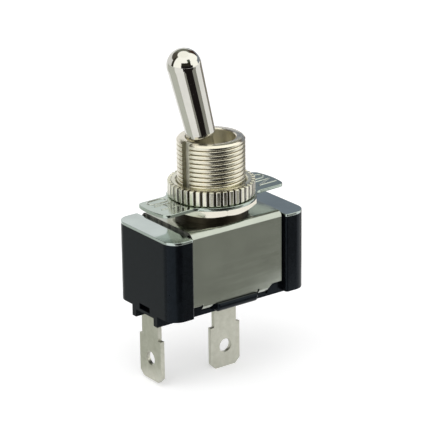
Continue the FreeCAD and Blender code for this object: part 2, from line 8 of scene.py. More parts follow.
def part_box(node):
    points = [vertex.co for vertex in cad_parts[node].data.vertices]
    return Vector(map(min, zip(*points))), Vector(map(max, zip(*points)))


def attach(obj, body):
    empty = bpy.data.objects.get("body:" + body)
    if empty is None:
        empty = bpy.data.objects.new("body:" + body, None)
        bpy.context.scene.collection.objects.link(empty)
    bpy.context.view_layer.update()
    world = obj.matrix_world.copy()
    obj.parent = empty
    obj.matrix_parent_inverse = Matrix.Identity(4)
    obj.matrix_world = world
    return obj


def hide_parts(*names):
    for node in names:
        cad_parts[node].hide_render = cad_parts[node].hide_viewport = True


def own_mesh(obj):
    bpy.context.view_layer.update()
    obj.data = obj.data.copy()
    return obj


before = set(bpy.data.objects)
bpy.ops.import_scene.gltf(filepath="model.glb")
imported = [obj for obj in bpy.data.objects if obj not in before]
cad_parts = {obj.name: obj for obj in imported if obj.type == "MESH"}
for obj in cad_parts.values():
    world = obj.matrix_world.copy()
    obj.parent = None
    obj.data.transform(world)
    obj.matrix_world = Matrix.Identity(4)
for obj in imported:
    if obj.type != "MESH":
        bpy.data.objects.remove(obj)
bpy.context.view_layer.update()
print("frame loaded")

mm = 0.001
strapTop = -6.45 * mm    # the strap frame's top face, counted from the lever's pivot


def nodeMaterial(name, metallic, roughness, specular=0.5):
    material = bpy.data.materials.new(name)
    material.use_nodes = True
    shader = material.node_tree.nodes["Principled BSDF"]
    shader.inputs["Metallic"].default_value = metallic
    shader.inputs["Roughness"].default_value = roughness
    shader.inputs["Specular IOR Level"].default_value = specular
    return material, material.node_tree, shader


def objectNoise(tree, scale, detail=3.0, stretch=(1, 1, 1), roughness=0.55):
    coords = tree.nodes.new("ShaderNodeTexCoord")
    mapping = tree.nodes.new("ShaderNodeMapping")
    mapping.inputs["Scale"].default_value = stretch
    noise = tree.nodes.new("ShaderNodeTexNoise")
    noise.inputs["Scale"].default_value = scale
    noise.inputs["Detail"].default_value = detail
    noise.inputs["Roughness"].default_value = roughness
    tree.links.new(coords.outputs["Object"], mapping.inputs["Vector"])
    tree.links.new(mapping.outputs["Vector"], noise.inputs["Vector"])
    return noise.outputs["Fac"]


def rampColor(tree, factor, stops):
    ramp = tree.nodes.new("ShaderNodeValToRGB")
    elements = ramp.color_ramp.elements
    while len(elements) < len(stops):
        elements.new(0.5)
    for element, (place, color) in zip(elements, stops):
        element.position = place
        element.color = (*color, 1)
    tree.links.new(factor, ramp.inputs["Fac"])
    return ramp.outputs["Color"]


def rangeValue(tree, factor, low, high):
    mapRange = tree.nodes.new("ShaderNodeMapRange")
    mapRange.inputs["From Min"].default_value = 0.3
    mapRange.inputs["From Max"].default_value = 0.7
    mapRange.inputs["To Min"].default_value = low
    mapRange.inputs["To Max"].default_value = high
    tree.links.new(factor, mapRange.inputs["Value"])
    return mapRange.outputs["Result"]


def bumpFrom(tree, shader, height, strength, distance):
    bump = tree.nodes.new("ShaderNodeBump")
    bump.inputs["Strength"].default_value = strength
    bump.inputs["Distance"].default_value = distance
    tree.links.new(height, bump.inputs["Height"])
    tree.links.new(bump.outputs["Normal"], shader.inputs["Normal"])


def meshObject(name, vertices, faces):
    mesh = bpy.data.meshes.new(name)
    mesh.from_pydata(vertices, [], faces)
    mesh.update()
    item = bpy.data.objects.new(name, mesh)
    bpy.context.scene.collection.objects.link(item)
    return item


def bakedMesh(item):
    # turns the object's modifiers into its plain mesh
    graph = bpy.context.evaluated_depsgraph_get()
    graph.update()
    mesh = bpy.data.meshes.new_from_object(item.evaluated_get(graph))
    item.modifiers.clear()
    item.data = mesh
    return item


def smoothUnder(item, degrees):
    item.data.shade_smooth()
    item.data.set_sharp_from_angle(angle=math.radians(degrees))


def paint(item, material):
    item.data.materials.clear()
    item.data.materials.append(material)
    for face in item.data.polygons:
        face.material_index = 0


def paintFaces(item, material, chosen):
    # gives some faces a second finish
    item.data.materials.append(material)
    for face in item.data.polygons:
        if chosen(face):
            face.material_index = len(item.data.materials) - 1


def standFor(item, node, body, material):
    paint(item, material)
    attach(item, body)
    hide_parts(node)


def mergedCopy(node, name):
    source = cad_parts[node].data
    work = bmesh.new()
    work.from_mesh(source)
    bmesh.ops.remove_doubles(work, verts=work.verts, dist=2e-6)
    bmesh.ops.dissolve_limit(work, angle_limit=math.radians(0.6), verts=work.verts, edges=work.edges)
    work.verts.index_update()
    vertices = [tuple(v.co) for v in work.verts]
    faces = [[v.index for v in face.verts] for face in work.faces]
    work.free()
    return meshObject(name, vertices, faces)


def softenedCopy(node, name, width, segments=2, degrees=32):
    # a copy of the solid with its edges slightly rounded, as pressing and moulding leave them
    item = mergedCopy(node, name)
    bevel = item.modifiers.new("edges", "BEVEL")
    bevel.width = width
    bevel.segments = segments
    bevel.limit_method = "ANGLE"
    bevel.angle_limit = math.radians(degrees)
    item.data.shade_smooth()
    # flat faces stay flat and turned ones shade round
    weighted = item.modifiers.new("normals", "WEIGHTED_NORMAL")
    weighted.weight = 60
    return bakedMesh(item)


def outwards(item):
    # merges doubled points and turns every face outwards
    work = bmesh.new()
    work.from_mesh(item.data)
    bmesh.ops.remove_doubles(work, verts=work.verts, dist=1e-7)
    bmesh.ops.recalc_face_normals(work, faces=work.faces)
    work.to_mesh(item.data)
    work.free()


def lathed(name, profile, segments, base=strapTop):
    # turns a closed profile of (radius, height) in millimetres over the base about Z
    count = len(profile)
    vertices = []
    for k in range(segments):
        angle = 2 * math.pi * k / segments
        vertices += [(r * mm * math.cos(angle), r * mm * math.sin(angle), z * mm + base)
                     for r, z in profile]
    faces = []
    for k in range(segments):
        a, b = k * count, (k + 1) % segments * count
        faces += [(a + i, b + i, b + (i + 1) % count, a + (i + 1) % count) for i in range(count)]
    item = meshObject(name, vertices, faces)
    outwards(item)
    return item


def cutAway(item, cutter):
    boolean = item.modifiers.new("cut", "BOOLEAN")
    boolean.operation = "DIFFERENCE"
    boolean.solver = "EXACT"
    boolean.object = cutter
    bakedMesh(item)
    bpy.data.objects.remove(cutter)


def boxMesh(name, low, high, turn=None):
    xs, ys, zs = zip(low, high)
    vertices = [(x, y, z) for x in xs for y in ys for z in zs]
    faces = [(0, 1, 3, 2), (4, 6, 7, 5), (0, 4, 5, 1), (2, 3, 7, 6), (0, 2, 6, 4), (1, 5, 7, 3)]
    item = meshObject(name, vertices, faces)
    if turn is not None:
        item.data.transform(turn)
    return item


# colours and gloss of each finish, as linear values
finishes = {
    "leverNickel": {"color": (0.63, 0.62, 0.57), "roughness": 0.06, "waviness": 0.01},
    "bushingNickel": {"color": (0.72, 0.68, 0.57), "roughness": 0.19, "waviness": 0.02},
    "threadNickel": {"color": (0.70, 0.67, 0.55), "roughness": 0.23, "waviness": 0.02},
    # painted shade on the keyway's walls and a painted highlight on its floor
    "slotWallShade": {"color": (0.24, 0.23, 0.17), "roughness": 0.4, "waviness": 0.05},
    "slotFloorHighlight": {"color": (0.86, 0.85, 0.74), "roughness": 0.5, "waviness": 0.05},
    "boreNickel": {"color": (0.86, 0.82, 0.68), "roughness": 0.36, "waviness": 0.02},
    "nutNickel": {"color": (0.75, 0.735, 0.61), "roughness": 0.25, "waviness": 0.02},
    "hexNickel": {"color": (0.76, 0.73, 0.63), "roughness": 0.11, "waviness": 0.05},
    "strapSteel": {"color": (0.445, 0.475, 0.42), "roughness": 0.15, "streaks": 0.05},
    "coverSteel": {"color": (0.50, 0.565, 0.54), "roughness": 0.09, "streaks": 0.02},
    "legendSteel": {"color": (0.47, 0.54, 0.485), "roughness": 0.12, "streaks": 0.03},
    "letterSteel": {"color": (0.62, 0.66, 0.60), "roughness": 0.22, "streaks": 0.03},
}


def makeNickel(name, threadRoot=None):
    # a layer of nickel: bright, faintly cloudy, with brown-gold painted shade in a thread's roots
    f = finishes[name]
    color, roughness = f["color"], f["roughness"]
    material, tree, shader = nodeMaterial(name, 1.0, roughness)
    clouds = objectNoise(tree, 260, 4)
    darker = tuple(c * 0.93 for c in color)
    shade = rampColor(tree, clouds, [(0.3, darker), (0.7, color)])
    if threadRoot:
        shade = rootShade(tree, shade, *threadRoot)
    tree.links.new(shade, shader.inputs["Base Color"])
    tree.links.new(rangeValue(tree, clouds, roughness * 0.8, roughness * 1.25), shader.inputs["Roughness"])
    bumpFrom(tree, shader, objectNoise(tree, 900, 2), f["waviness"], 0.00004)
    return material


def rootShade(tree, color, crest, depth):
    # painted shade: multiplies the colour by a brown that deepens from the crest's radius to the root's
    coords = tree.nodes.new("ShaderNodeTexCoord")
    flat = tree.nodes.new("ShaderNodeVectorMath")
    flat.operation = "MULTIPLY"
    flat.inputs[1].default_value = (1, 1, 0)
    length = tree.nodes.new("ShaderNodeVectorMath")
    length.operation = "LENGTH"
    tree.links.new(coords.outputs["Object"], flat.inputs[0])
    tree.links.new(flat.outputs["Vector"], length.inputs[0])
    reach = tree.nodes.new("ShaderNodeMapRange")
    reach.inputs["From Min"].default_value = crest - depth
    reach.inputs["From Max"].default_value = crest
    tree.links.new(length.outputs["Value"], reach.inputs["Value"])
    tint = rampColor(tree, reach.outputs["Result"],
                     [(0.0, (0.16, 0.09, 0.035)), (0.3, (0.42, 0.30, 0.18)), (0.75, (1, 1, 1))])
    mix = tree.nodes.new("ShaderNodeMix")
    mix.data_type = "RGBA"
    mix.blend_type = "MULTIPLY"
    mix.inputs["Factor"].default_value = 1.0
    tree.links.new(color, mix.inputs["A"])
    tree.links.new(tint, mix.inputs["B"])
    return mix.outputs["Result"]


def makeSheetSteel(name):
    f = finishes[name]
    color, roughness = f["color"], f["roughness"]
    material, tree, shader = nodeMaterial(name, 1.0, roughness)
    rolled = objectNoise(tree, 500, 4, (0.12, 1.6, 1.6))
    clouds = objectNoise(tree, 160, 3)
    darker = tuple(c * 0.84 for c in color)
    tree.links.new(rampColor(tree, clouds, [(0.3, darker), (0.7, color)]), shader.inputs["Base Color"])
    tree.links.new(rangeValue(tree, rolled, roughness * 0.75, roughness * 1.35), shader.inputs["Roughness"])
    bumpFrom(tree, shader, rolled, f["streaks"], 0.00005)
    return material


def makeShearedEdge():
    # the torn edge of the sheet: dark, rough, striped across the sheet's thickness
    material, tree, shader = nodeMaterial("shearedEdge", 1.0, 0.5)
    stripes = objectNoise(tree, 1600, 3, (1, 1, 0.1))
    tree.links.new(rampColor(tree, stripes, [(0.35, (0.05, 0.05, 0.045)), (0.75, (0.24, 0.23, 0.20))]),
                   shader.inputs["Base Color"])
    bumpFrom(tree, shader, stripes, 0.5, 0.00008)
    return material


def makeMoulding():
    material, tree, shader = nodeMaterial("blackMoulding", 0.0, 0.2, 0.15)
    shader.inputs["Specular Tint"].default_value = (0.62, 0.82, 1.0, 1)
    speckle = objectNoise(tree, 1500, 3)
    shade = rampColor(tree, speckle, [(0.35, (0.003, 0.0035, 0.0045)), (0.75, (0.006, 0.007, 0.009))])
    tree.links.new(shade, shader.inputs["Base Color"])
    tree.links.new(rangeValue(tree, objectNoise(tree, 300, 4), 0.14, 0.24), shader.inputs["Roughness"])
    bumpFrom(tree, shader, objectNoise(tree, 700, 3), 0.06, 0.00003)
    return material


def makeTin():
    material, tree, shader = nodeMaterial("tinPlate", 1.0, 0.35)
    mottled = objectNoise(tree, 900, 5, roughness=0.7)
    tree.links.new(rampColor(tree, mottled, [(0.3, (0.44, 0.44, 0.37)), (0.7, (0.56, 0.56, 0.49))]),
                   shader.inputs["Base Color"])
    tree.links.new(rangeValue(tree, mottled, 0.28, 0.44), shader.inputs["Roughness"])
    bumpFrom(tree, shader, mottled, 0.25, 0.00004)
    return material


def makePlain(name, metallic, color, roughness, grain):
    material, tree, shader = nodeMaterial(name, metallic, roughness)
    noise = objectNoise(tree, grain, 4)
    darker = tuple(c * 0.8 for c in color)
    tree.links.new(rampColor(tree, noise, [(0.3, darker), (0.7, color)]), shader.inputs["Base Color"])
    bumpFrom(tree, shader, noise, 0.15, 0.00003)
    return material


moulding = makeMoulding()
leverNickel = makeNickel("leverNickel")
bushingNickel = makeNickel("bushingNickel")
slotWallShade = makeNickel("slotWallShade")
slotFloorHighlight = makeNickel("slotFloorHighlight")
boreNickel = makeNickel("boreNickel")
nutNickel = makeNickel("nutNickel")
hexNickel = makeNickel("hexNickel")
strapSteel = makeSheetSteel("strapSteel")
coverSteel = makeSheetSteel("coverSteel")
legendSteel = makeSheetSteel("legendSteel")
letterSteel = makeSheetSteel("letterSteel")
shearedEdge = makeShearedEdge()
tinPlate = makeTin()
springSteel = makePlain("springSteel", 1.0, (0.5, 0.5, 0.5), 0.3, 600)
turnedBrass = makePlain("turnedBrass", 1.0, (0.72, 0.52, 0.22), 0.3, 600)
rolledCopper = makePlain("rolledCopper", 1.0, (0.75, 0.42, 0.28), 0.35, 600)
silverRivet = makePlain("silverRivet", 1.0, (0.85, 0.84, 0.80), 0.3, 600)
pressedSheet = makePlain("pressedSheet", 0.0, (0.35, 0.22, 0.10), 0.6, 800)
# painted shade for recesses: the collar under the hex nut and the floors of the knurl's gaps
recessShade = makePlain("recessShade", 1.0, (0.05, 0.042, 0.03), 0.4, 900)
# painted highlight on the knurl teeth's upright edges
edgeHighlight = makePlain("edgeHighlight", 1.0, (0.95, 0.93, 0.87), 0.35, 900)
print("materials made")


# the threaded bushing, in millimetres over the strap frame's top face
bushingSizes = {
    "threadRadius": 5.95,
    "threadDepth": 0.36,
    "threadPitch": 0.794,
    "threadBottom": 1.2,
    "threadTop": 13.4,
    "rowsPerPitch": 14,
    "shoulderRadius": 6.4,
    "edge": 0.1,
    "collarRadius": 5.1,
    "lipRadius": 5.5,
    "lipTop": -1.0,
    "bottom": -1.5,
    "mouthRadius": 4.35,
    "mouthFloor": 10.65,
    "neckRadius": 3.0,
    "neckTop": 9.65,
    "neckBottom": 8.53,
    "chamberRadius": 3.65,
    "chamberHeight": 6.45,
    "skirtTop": 4.5,
    "skirtRadius": 4.55,
    "keyWidth": 1.7,
    "keyDepth": 0.95,
    "keyTurn": 6.0,
    "pinGrooveWidth": 1.72,
    "pinGrooveLength": 9.0,
    "pinGrooveTop": 6.95,
    "segments": 192,
}
# the thread's roots get a brown painted shade
threadNickel = makeNickel("threadNickel", (bushingSizes["threadRadius"] * mm,
                                           bushingSizes["threadDepth"] * mm))


def threadTree(material):
    # moves the outside of the turned blank in and out as a screw thread
    tree = bpy.data.node_groups.new("threadCrests", "GeometryNodeTree")
    tree.interface.new_socket("Geometry", in_out="INPUT", socket_type="NodeSocketGeometry")
    inputs = {}
    for label in ("Pitch", "Depth", "Bottom", "Top", "Outside"):
        inputs[label] = tree.interface.new_socket(label, in_out="INPUT", socket_type="NodeSocketFloat")
    tree.interface.new_socket("Geometry", in_out="OUTPUT", socket_type="NodeSocketGeometry")
    entry = tree.nodes.new("NodeGroupInput")
    leave = tree.nodes.new("NodeGroupOutput")

    def math2(operation, a, b=None):
        node = tree.nodes.new("ShaderNodeMath")
        node.operation = operation
        for socket, value in zip(node.inputs, (a, b)):
            if value is None:
                continue
            if isinstance(value, (int, float)):
                socket.default_value = value
            else:
                tree.links.new(value, socket)
        return node.outputs[0]

    place = tree.nodes.new("GeometryNodeInputPosition")
    split = tree.nodes.new("ShaderNodeSeparateXYZ")
    tree.links.new(place.outputs[0], split.inputs[0])
    x, y, z = split.outputs
    radius = math2("SQRT", math2("ADD", math2("MULTIPLY", x, x), math2("MULTIPLY", y, y)))
    angle = math2("DIVIDE", math2("ARCTAN2", y, x), 2 * math.pi)
    rise = math2("DIVIDE", math2("SUBTRACT", z, entry.outputs["Bottom"]), entry.outputs["Pitch"])
    phase = math2("FRACT", math2("SUBTRACT", rise, angle))
    fromCrest = math2("MULTIPLY", math2("ABSOLUTE", math2("SUBTRACT", phase, 0.5)), 2.0)
    # a broad, nearly flat crest that falls steeply into a narrow root
    drop = math2("MULTIPLY", math2("POWER", fromCrest, 6.0), entry.outputs["Depth"])
    outside = math2("GREATER_THAN", radius, math2("SUBTRACT", entry.outputs["Outside"], 1e-5))
    inside = math2("LESS_THAN", radius, math2("ADD", entry.outputs["Outside"], 1e-5))
    above = math2("GREATER_THAN", z, math2("ADD", entry.outputs["Bottom"], 1e-5))
    below = math2("LESS_THAN", z, math2("SUBTRACT", entry.outputs["Top"], 1e-5))
    chosen = math2("MULTIPLY", math2("MULTIPLY", outside, inside), math2("MULTIPLY", above, below))
    scale = math2("DIVIDE", math2("SUBTRACT", radius, math2("MULTIPLY", drop, chosen)), radius)
    join = tree.nodes.new("ShaderNodeCombineXYZ")
    tree.links.new(math2("MULTIPLY", x, scale), join.inputs[0])
    tree.links.new(math2("MULTIPLY", y, scale), join.inputs[1])
    tree.links.new(z, join.inputs[2])
    move = tree.nodes.new("GeometryNodeSetPosition")
    tree.links.new(entry.outputs["Geometry"], move.inputs["Geometry"])
    tree.links.new(join.outputs[0], move.inputs["Position"])
    real = tree.nodes.new("GeometryNodeRealizeInstances")
    setMaterial = tree.nodes.new("GeometryNodeSetMaterial")
    setMaterial.inputs["Material"].default_value = material
    tree.links.new(move.outputs[0], real.inputs[0])
    tree.links.new(real.outputs[0], setMaterial.inputs["Geometry"])
    tree.links.new(setMaterial.outputs[0], leave.inputs[0])
    return tree, {label: socket.identifier for label, socket in inputs.items()}


def bushingProfile():
    s = bushingSizes
    bottom, top, edge = s["threadBottom"], s["threadTop"], s["edge"]
    rows = int((top - bottom) / s["threadPitch"] * s["rowsPerPitch"])
    profile = [(s["lipRadius"] - edge, s["bottom"]), (s["lipRadius"], s["bottom"] + edge),
               (s["lipRadius"], s["lipTop"]), (s["collarRadius"], s["lipTop"]),
               (s["collarRadius"], 0.0), (s["shoulderRadius"], 0.0),
               (s["shoulderRadius"], bottom - edge), (s["shoulderRadius"] - edge, bottom)]
    profile += [(s["threadRadius"], bottom + (top - bottom) * row / rows) for row in range(rows + 1)]
    profile += [(s["threadRadius"] - 0.3, top + 0.29), (s["threadRadius"] - 0.4, top + 0.35),
                (s["mouthRadius"] + 0.15, top + 0.35), (s["mouthRadius"], top + 0.2),
                (s["mouthRadius"], s["mouthFloor"]), (s["neckRadius"], s["neckTop"]),
                (s["neckRadius"], s["neckBottom"])]
    chamber, middle = s["chamberRadius"], s["chamberHeight"]
    start = math.asin((s["neckBottom"] - middle) / chamber)
    for k in range(1, 9):
        angle = start * (1 - k / 8)
        profile.append((chamber * math.cos(angle), middle + chamber * math.sin(angle)))
    return profile + [(chamber, s["skirtTop"]), (s["skirtRadius"], s["bottom"])]


def paintBushing(bushing, facing):
    s = bushingSizes
    inThread = (s["threadRadius"] - s["threadDepth"] - 0.02) * mm
    bottom, top = s["threadBottom"] * mm + strapTop, (s["threadTop"] + 0.01) * mm + strapTop
    paintFaces(bushing, threadNickel, lambda face: face.center.xy.length > inThread
               and bottom < face.center.z < top)
    # the collar under the backing nut is dull, and dark with painted shade
    paintFaces(bushing, recessShade, lambda face: face.center.xy.length > s["threadRadius"] * mm
               and strapTop - 0.01 * mm < face.center.z < bottom + 0.01 * mm)
    # the bore above the pivot
    paintFaces(bushing, boreNickel, lambda face: face.center.xy.length < (s["mouthRadius"] + 0.05) * mm
               and face.center.z > 0)

    def inSlot(face):
        across, along = abs(facing.cross(face.center).z), facing.dot(face.center)
        return (bottom < face.center.z < top and across < (s["keyWidth"] / 2 + 0.01) * mm
                and (s["mouthRadius"] + 0.3) * mm < along and abs(face.normal.z) < 0.1)

    # the keyway is milled; its walls carry painted shade and its floor a painted highlight
    paintFaces(bushing, slotWallShade, lambda face: inSlot(face) and abs(facing.dot(face.normal)) < 0.5)
    paintFaces(bushing, slotFloorHighlight, lambda face: inSlot(face) and facing.dot(face.normal) > 0.9
               and face.center.xy.length < inThread)


def makeBushing():
    s = bushingSizes
    bushing = lathed("bushing_turned", bushingProfile(), s["segments"])
    tree, sockets = threadTree(threadNickel)
    threading = bushing.modifiers.new("thread", "NODES")
    threading.node_group = tree
    values = {"Pitch": s["threadPitch"] * mm, "Depth": s["threadDepth"] * mm,
              "Bottom": s["threadBottom"] * mm + strapTop, "Top": s["threadTop"] * mm + strapTop,
              "Outside": s["threadRadius"] * mm}
    for label, value in values.items():
        threading[sockets[label]] = value
    bakedMesh(bushing)
    turn = Matrix.Rotation(math.radians(s["keyTurn"]), 4, "Z")
    half = s["keyWidth"] / 2 * mm
    low = (-(s["threadRadius"] + 1) * mm, -half, (s["threadBottom"] + 0.001) * mm + strapTop)
    high = (-(s["threadRadius"] - s["keyDepth"]) * mm, half, (s["threadTop"] + 1.6) * mm + strapTop)
    cutAway(bushing, boxMesh("keySlot", low, high, turn))
    across, along = s["pinGrooveWidth"] / 2 * mm, s["pinGrooveLength"] / 2 * mm
    low = (-across, -along, (s["bottom"] - 1.5) * mm + strapTop)
    high = (across, along, s["pinGrooveTop"] * mm + strapTop)
    cutAway(bushing, boxMesh("pinGroove", low, high))
    smoothUnder(bushing, 40)
    standFor(bushing, "bushing", "base", bushingNickel)
    paintBushing(bushing, turn @ Vector((-1, 0, 0)))


# the bat lever with its ball and tail, in millimetres from the pivot
leverSizes = {
    "tilt": 14.5,
    "baseHeight": 8.35,
    "baseRadius": 2.57,
    "baseEdge": 0.4,
    "domeHeight": 21.6,
    "domeRadius": 3.0,
    "shaftRadius": 1.9,
    "ballRadius": 3.6,
    "tailRadius": 2.2,
    "tailLength": 8.5,
    "boreRadius": 1.45,
    "tailEdge": 0.15,
    "boreTop": 1.0,
    "segments": 128,
}


def leverProfile():
    s = leverSizes
    ball, edge, tip = s["ballRadius"], s["baseEdge"], s["tailEdge"]
    profile = [(0.0, -s["boreTop"]), (s["boreRadius"], -s["boreTop"]), (s["boreRadius"], -s["tailLength"]),
               (s["tailRadius"] - tip, -s["tailLength"]), (s["tailRadius"], -s["tailLength"] + tip)]
    lowest, highest = -math.acos(s["tailRadius"] / ball), math.acos(s["shaftRadius"] / ball)
    for k in range(33):
        angle = lowest + (highest - lowest) * k / 32
        profile.append((ball * math.cos(angle), ball * math.sin(angle)))
    profile += [(s["shaftRadius"], s["baseHeight"]), (s["baseRadius"] - edge, s["baseHeight"])]
    for k in range(1, 7):
        angle = -math.pi / 2 + math.pi / 2 * k / 6
        profile.append((s["baseRadius"] - edge + edge * math.cos(angle),
                        s["baseHeight"] + edge + edge * math.sin(angle)))
    taper = math.atan((s["domeRadius"] - s["baseRadius"]) / (s["domeHeight"] - s["baseHeight"]))
    # close rings keep the shading of the straight part straight
    foot, rise = s["baseHeight"] + edge, s["domeHeight"] - s["baseHeight"] - 0.5
    profile += [(s["baseRadius"] + part * rise * math.tan(taper), foot + part * rise)
                for part in (0.004, 0.02, 0.5, 0.985)]
    for k in range(41):
        angle = -taper + (math.pi / 2 + taper) * k / 40
        profile.append((s["domeRadius"] * max(math.cos(angle), 0.0),
                        s["domeHeight"] + s["domeRadius"] * math.sin(angle)))
    return profile


def makeLever():
    s = leverSizes
    lever = lathed("lever_turned", leverProfile(), s["segments"], 0)
    lever.data.transform(Matrix.Rotation(math.radians(-s["tilt"]), 4, "Y"))
    smoothUnder(lever, 30)
    standFor(lever, "lever", "lever", leverNickel)


# the round nut with its straight knurl, in millimetres over the strap frame's top face
nutSizes = {
    "bottom": 3.3,
    "height": 2.75,
    "radius": 7.65,
    "coreRadius": 7.22,
    "coreEdge": 0.1,
    "coreSlope": (0.25, 0.3),
    "boreRadius": 6.01,
    "sinkRadius": 6.35,
    "sinkDepth": 0.3,
    "teeth": 40,
    "toothWidth": 0.80,
    "toothEdge": 0.16,
    "toothFoot": 0.3,
    "toothRoot": 0.3,
    "toothLift": 0.06,
    "segments": 160,
}


def toothMesh():
    # one flat-topped tooth of the knurl, pointing along +X, its root inside the nut's core
    s = nutSizes
    root, top, foot = s["coreRadius"] - s["toothRoot"], s["radius"], s["toothFoot"]
    low, high = s["bottom"] + s["toothLift"], s["bottom"] + s["height"]
    outline = [(root, low), (s["coreRadius"], low)]
    for k in range(5):
        angle = -math.pi / 2 + math.pi / 2 * k / 4
        outline.append((top - foot * (1 - math.cos(angle)), low + foot * (1 + math.sin(angle))))
    outline += [(top, high), (root, high)]
    count, half = len(outline), s["toothWidth"] / 2
    vertices = [(r * mm, y * mm, z * mm + strapTop) for y in (-half, half) for r, z in outline]
    faces = [tuple(range(count)), tuple(reversed(range(count, 2 * count)))]
    faces += [(k, k + count, (k + 1) % count + count, (k + 1) % count) for k in range(count)]
    tooth = meshObject("knurlTooth", vertices, faces)
    outwards(tooth)
    bevel = tooth.modifiers.new("round", "BEVEL")
    bevel.width = s["toothEdge"] * mm
    bevel.segments = 2
    bevel.limit_method = "ANGLE"
    bevel.angle_limit = math.radians(50)
    bevel.harden_normals = True
    tooth.data.shade_smooth()
    return bakedMesh(tooth)


def knurlTree(tooth, material):
    tree = bpy.data.node_groups.new("knurlRing", "GeometryNodeTree")
    tree.interface.new_socket("Geometry", in_out="INPUT", socket_type="NodeSocketGeometry")
    countSocket = tree.interface.new_socket("Teeth", in_out="INPUT", socket_type="NodeSocketInt")
    tree.interface.new_socket("Geometry", in_out="OUTPUT", socket_type="NodeSocketGeometry")
    entry = tree.nodes.new("NodeGroupInput")
    leave = tree.nodes.new("NodeGroupOutput")
    points = tree.nodes.new("GeometryNodePoints")
    tree.links.new(entry.outputs["Teeth"], points.inputs["Count"])
    index = tree.nodes.new("GeometryNodeInputIndex")
    share = tree.nodes.new("ShaderNodeMath")
    share.operation = "DIVIDE"
    tree.links.new(index.outputs[0], share.inputs[0])
    tree.links.new(entry.outputs["Teeth"], share.inputs[1])
    turn = tree.nodes.new("ShaderNodeMath")
    turn.operation = "MULTIPLY"
    turn.inputs[1].default_value = 2 * math.pi
    tree.links.new(share.outputs[0], turn.inputs[0])
    rotation = tree.nodes.new("ShaderNodeCombineXYZ")
    tree.links.new(turn.outputs[0], rotation.inputs["Z"])
    source = tree.nodes.new("GeometryNodeObjectInfo")
    source.inputs["Object"].default_value = tooth
    place = tree.nodes.new("GeometryNodeInstanceOnPoints")
    tree.links.new(points.outputs[0], place.inputs["Points"])
    tree.links.new(source.outputs["Geometry"], place.inputs["Instance"])
    tree.links.new(rotation.outputs[0], place.inputs["Rotation"])
    both = tree.nodes.new("GeometryNodeJoinGeometry")
    tree.links.new(place.outputs[0], both.inputs[0])
    tree.links.new(entry.outputs["Geometry"], both.inputs[0])
    real = tree.nodes.new("GeometryNodeRealizeInstances")
    setMaterial = tree.nodes.new("GeometryNodeSetMaterial")
    setMaterial.inputs["Material"].default_value = material
    tree.links.new(both.outputs[0], real.inputs[0])
    tree.links.new(real.outputs[0], setMaterial.inputs["Geometry"])
    tree.links.new(setMaterial.outputs[0], leave.inputs[0])
    return tree, countSocket.identifier


def makeFaceNut():
    s = nutSizes
    low, high = s["bottom"], s["bottom"] + s["height"]
    core, edge, (inward, down) = s["coreRadius"], s["coreEdge"], s["coreSlope"]
    profile = [(s["boreRadius"], low), (core - edge, low), (core, low + edge),
               (core, high - down), (core - inward, high),
               (s["sinkRadius"], high), (s["boreRadius"], high - s["sinkDepth"])]
    nut = lathed("face_nut_knurled", profile, s["segments"])
    smoothUnder(nut, 30)
    tooth = toothMesh()
    tree, socket = knurlTree(tooth, nutNickel)
    knurl = nut.modifiers.new("knurl", "NODES")
    knurl.node_group = tree
    knurl[socket] = s["teeth"]
    bakedMesh(nut)
    bpy.data.objects.remove(tooth)
    standFor(nut, "face_nut", "face_nut", nutNickel)

    def inGap(face):
        return (abs(face.normal.z) < 0.8 and face.center.z > (low + edge) * mm + strapTop
                and -0.14 * mm < face.center.xy.length - core * mm < 0.03 * mm)

    def onEdge(face):
        across = abs(face.center.xy.normalized().cross(face.normal.xy))
        return abs(face.normal.z) < 0.3 and 0.25 < across < 0.97 and face.center.xy.length > core * mm

    # the floors of the gaps carry painted shade, and the teeth's upright edges a painted highlight
    paintFaces(nut, recessShade, inGap)
    paintFaces(nut, edgeHighlight, onEdge)


# how far the pressed, moulded and milled edges are rounded, in millimetres
edgeSizes = {
    "case": 0.12,
    "topPlate": 0.12,
    "strap": 0.07,
    "terminals": 0.07,
    "hexNut": 0.14,
    "legendPlate": 0.08,
}


def makeSheetParts():
    e = {name: size * mm for name, size in edgeSizes.items()}
    standFor(softenedCopy("case", "case_moulding", e["case"]), "case", "base", moulding)
    standFor(softenedCopy("top_plate", "top_cover", e["topPlate"], 3), "top_plate", "base",
             coverSteel)
    standFor(softenedCopy("end_terminal", "end_tab", e["terminals"]), "end_terminal", "base",
             tinPlate)
    standFor(softenedCopy("centre_terminal", "centre_tab", e["terminals"]), "centre_terminal", "base",
             tinPlate)
    standFor(softenedCopy("hex_nut", "hex_nut_faced", e["hexNut"], 2, 20), "hex_nut", "base",
             hexNickel)
    standFor(softenedCopy("on_off_plate", "legend_plate", e["legendPlate"]), "on_off_plate", "plate",
             legendSteel)


def makeStrap():
    beyond = 9.5 * mm    # only the sheared ends stand further out along X
    strap = softenedCopy("strap_frame", "strap_polished", edgeSizes["strap"] * mm)
    standFor(strap, "strap_frame", "base", strapSteel)
    # the sheared ends of the sheet are rough and dark
    paintFaces(strap, shearedEdge, lambda face: abs(face.normal.x) > 0.9
               and abs(face.center.x) > beyond)


# raised letters on the two wings, in millimetres on the plate before its turn:
# "foot" is where the letters stand along X, and each letter reads from its start towards -Y
letterSizes = {
    "plateTop": 3.3,
    "turn": 2.5,
    "height": 3.8,
    "stroke": 0.16,
    "rise": 0.1,
    "middleBar": (0.85, 0.53),    # the F's short bar, as parts of its width and height
    "words": {
        "ON": {"foot": 9.0, "starts": (2.48, -0.40), "widths": (1.88, 1.82)},
        "OFF": {"foot": -11.8, "starts": (3.55, 0.87, -1.13), "widths": (1.8, 1.3, 1.3)},
    },
}


